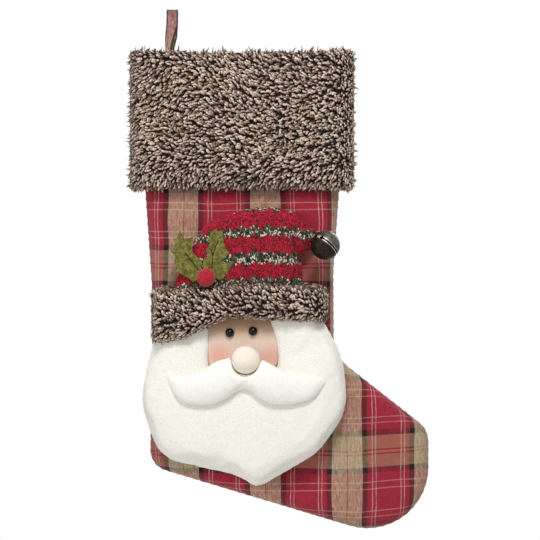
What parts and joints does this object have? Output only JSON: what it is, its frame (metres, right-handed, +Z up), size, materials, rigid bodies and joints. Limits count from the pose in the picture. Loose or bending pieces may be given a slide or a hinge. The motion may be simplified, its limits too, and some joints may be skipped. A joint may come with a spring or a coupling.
{
  "type": "hanging stocking",
  "caption": "Tartan hanging stocking with a deep fur cuff, cloth loop and a stuffed bearded folk figure in a knitted hat with holly and a jingle bell.",
  "frame": {"origin": "inside top of the hanging loop, where a hook holds it", "axes": "+Z up, -Y towards the decorated front, +X from heel to toe"},
  "size_m": [0.298, 0.0945, 0.52],
  "materials": {
    "plaid": "woven tartan cotton",
    "thread": "sewing thread",
    "lining": "plain thin lining",
    "fur": "shaggy pile, pale tips over dark roots",
    "fleece": "short soft fleece",
    "nose_fleece": "smooth stretch fleece",
    "skin_cloth": "smooth stretch cloth",
    "stuffing": "loose fibre fill",
    "backing_felt": "pressed felt",
    "bead": "glossy black",
    "hat_knit": "chunky striped knit",
    "leaf_felt": "pressed felt, cut edges",
    "dark_thread": "embroidery thread",
    "berry_felt": "felted ball",
    "bell_metal": "dark lacquer, worn bright at the slot",
    "pellet_steel": "plain"
  },
  "bodies": {
    "stocking": {"back_panel": "plaid", "beard_cover": "fleece", "beard_stuffing": "stuffing", "berry": "berry_felt", "cuff_backing_back": "lining", "cuff_backing_front": "lining", "cuff_fur_back": "fur", "cuff_fur_front": "fur", "eye_left": "bead", "eye_right": "bead", "face_patch": "skin_cloth", "face_stuffing": "stuffing", "front_panel": "plaid", "hat_backing": "backing_felt", "hat_brim": "fur", "hat_crown": "hat_knit", "hat_stuffing": "stuffing", "head_backing": "backing_felt", "holly_base": "leaf_felt", "lining_back": "lining", "lining_front": "lining", "loop_bar_tack": "thread", "loop_tab": "plaid", "moustache_cover": "fleece", "moustache_stuffing": "stuffing", "nose_cover": "nose_fleece", "nose_stuffing": "stuffing"},
    "hanging_loop": {"hanging_loop": "plaid"},
    "hat_tip": {"hat_tip": "hat_knit", "hat_tip_stuffing": "stuffing"},
    "bell_tie": {"bell_thread": "dark_thread"},
    "bell": {"bell_lower_shell": "bell_metal", "bell_upper_shell": "bell_metal", "bell_eyelet": "bell_metal"},
    "bell_pellet": {"bell_pellet": "pellet_steel"},
    "holly_left": {"holly_leaf_left": "leaf_felt", "holly_vein_left": "dark_thread"},
    "holly_right": {"holly_leaf_right": "leaf_felt", "holly_vein_right": "dark_thread"}
  },
  "joints": [
    {"name": "loop_fold", "type": "hinge", "parent": "stocking", "child": "hanging_loop", "pos_m": [-0.0025, -0.0004, -0.0443], "axis": [1, 0, 0], "range_deg": [-30, 70], "stiffness_Nm_per_rad": 0.006},
    {"name": "hat_tip_lift", "type": "hinge", "parent": "stocking", "child": "hat_tip", "pos_m": [0.1248, -0.0556, -0.228], "axis": [0, 0, -1], "range_deg": [0, 50], "stiffness_Nm_per_rad": 0.02},
    {"name": "bell_swing", "type": "hinge", "parent": "hat_tip", "child": "bell_tie", "pos_m": [0.14159, -0.05095, -0.23268], "axis": [-0.8096, -0.587, 0], "range_deg": [0, 35]},
    {"name": "bell_spin", "type": "hinge", "parent": "bell_tie", "child": "bell", "pos_m": [0.1525, -0.066, -0.2355], "axis": [0.5803, -0.8004, -0.1501], "range_deg": [-40, 40]},
    {"name": "pellet_rattle", "type": "slide", "parent": "bell", "child": "bell_pellet", "axis": [0, 0, 1], "range_m": [0, 0.0204]},
    {"name": "holly_left_bend", "type": "hinge", "parent": "stocking", "child": "holly_left", "pos_m": [0.03138, -0.06, -0.25845], "axis": [0.9285, 0, 0.3713], "range_deg": [0, 35], "stiffness_Nm_per_rad": 0.003},
    {"name": "holly_right_bend", "type": "hinge", "parent": "stocking", "child": "holly_right", "pos_m": [0.03793, -0.06, -0.2582], "axis": [0.9539, 0, -0.3], "range_deg": [0, 35], "stiffness_Nm_per_rad": 0.003}
  ]
}
